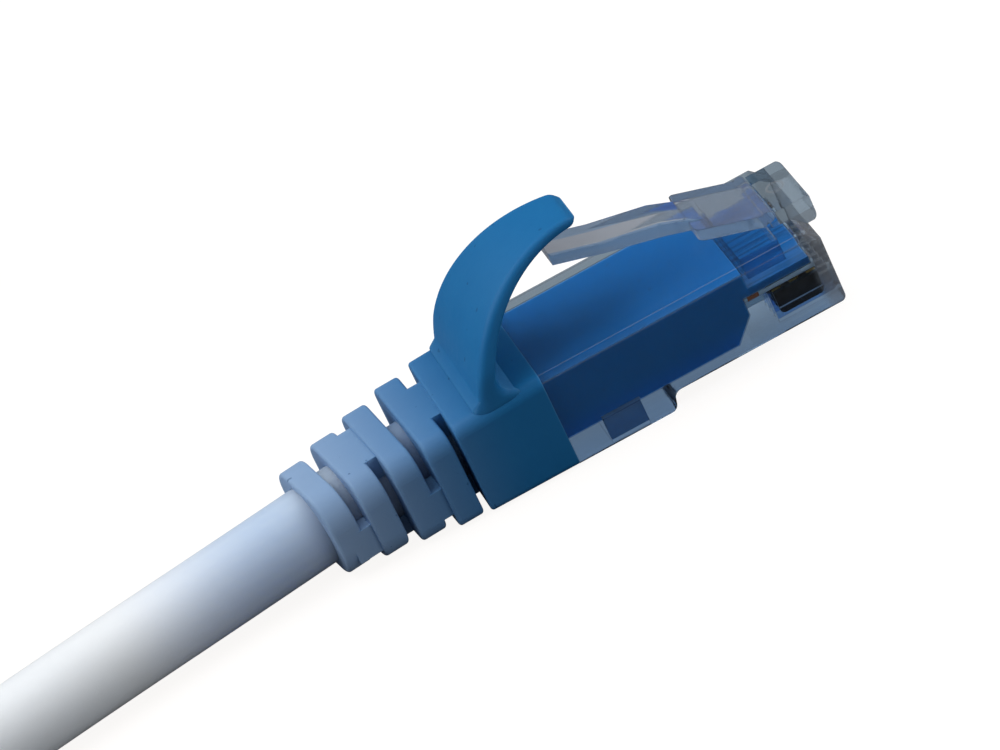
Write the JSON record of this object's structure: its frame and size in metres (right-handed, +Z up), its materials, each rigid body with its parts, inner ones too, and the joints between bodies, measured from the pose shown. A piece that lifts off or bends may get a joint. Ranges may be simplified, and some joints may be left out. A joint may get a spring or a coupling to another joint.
{
  "type": "ethernet patch cable",
  "caption": "Ethernet patch cable with clear latched plugs, moulded boots that arch over the latch, ribbed tails and a round blue jacket wound in a neat coil.",
  "frame": {"origin": "on the surface, below the middle of the near plug with its boot", "axes": "+X from the boot towards the near plug's nose, +Y across the plug, +Z up, on the latch's side"},
  "size_m": [0.1531, 0.082, 0.0163],
  "materials": {
    "clear_plastic": "clear polycarbonate",
    "boot_blue": "satin moulded PVC",
    "jacket_blue": "satin PVC jacket",
    "gold_contact": "gold plated",
    "white_plastic": "satin",
    "orange_plastic": "satin",
    "green_plastic": "satin",
    "blue_plastic": "satin",
    "brown_plastic": "satin",
    "white_orange": "satin, striped",
    "white_green": "satin, striped",
    "white_blue": "satin, striped",
    "white_brown": "satin, striped"
  },
  "bodies": {
    "lead": {"plug_housing": "clear_plastic", "boot": "boot_blue", "crimp_bar": "clear_plastic", "wire_guide": "clear_plastic", "pair_separator": "white_plastic", "jacket_end": "jacket_blue", "wire_white_orange": "white_orange", "wire_orange": "orange_plastic", "wire_white_green": "white_green", "wire_blue": "blue_plastic", "wire_white_blue": "white_blue", "wire_green": "green_plastic", "wire_white_brown": "white_brown", "wire_brown": "brown_plastic", "contact_1": "gold_contact", "contact_2": "gold_contact", "contact_3": "gold_contact", "contact_4": "gold_contact", "contact_5": "gold_contact", "contact_6": "gold_contact", "contact_7": "gold_contact", "contact_8": "gold_contact", "far_plug_housing": "clear_plastic", "far_boot": "boot_blue", "far_crimp_bar": "clear_plastic", "far_wire_guide": "clear_plastic", "far_pair_separator": "white_plastic", "far_jacket_end": "jacket_blue", "far_wire_white_orange": "white_orange", "far_wire_orange": "orange_plastic", "far_wire_white_green": "white_green", "far_wire_blue": "blue_plastic", "far_wire_white_blue": "white_blue", "far_wire_green": "green_plastic", "far_wire_white_brown": "white_brown", "far_wire_brown": "brown_plastic", "far_contact_1": "gold_contact", "far_contact_2": "gold_contact", "far_contact_3": "gold_contact", "far_contact_4": "gold_contact", "far_contact_5": "gold_contact", "far_contact_6": "gold_contact", "far_contact_7": "gold_contact", "far_contact_8": "gold_contact", "cable_near": "jacket_blue", "cable_coil": "jacket_blue", "cable_far": "jacket_blue"},
    "near_hook": {"boot_hook": "boot_blue"},
    "near_latch": {"latch_lever": "clear_plastic"},
    "far_hook": {"far_boot_hook": "boot_blue"},
    "far_latch": {"far_latch_lever": "clear_plastic"}
  },
  "joints": [
    {"name": "near_hook_press", "type": "hinge", "parent": "lead", "child": "near_hook", "pos_m": [-0.00585, 0, 0.00825], "axis": [0, 1, 0], "range_deg": [0, 22], "stiffness_Nm_per_rad": 0.05},
    {"name": "near_latch_press", "type": "hinge", "parent": "lead", "child": "near_latch", "pos_m": [0.01789, 0, 0.00895], "axis": [0, -1, 0], "range_deg": [0, 12.5]},
    {"name": "far_hook_press", "type": "hinge", "parent": "lead", "child": "far_hook", "pos_m": [-0.05912, 0.06285, 0.00825], "axis": [0.0947, 0.9955, 0], "range_deg": [0, 22], "stiffness_Nm_per_rad": 0.05},
    {"name": "far_latch_press", "type": "hinge", "parent": "lead", "child": "far_latch", "pos_m": [-0.03549, 0.0606, 0.00895], "axis": [-0.0947, -0.9955, 0], "range_deg": [0, 12.5]}
  ],
  "couplings": [
    {"joint": "near_latch_press", "follows": "near_hook_press", "ratio": 0.5454},
    {"joint": "far_latch_press", "follows": "far_hook_press", "ratio": 0.5454}
  ]
}
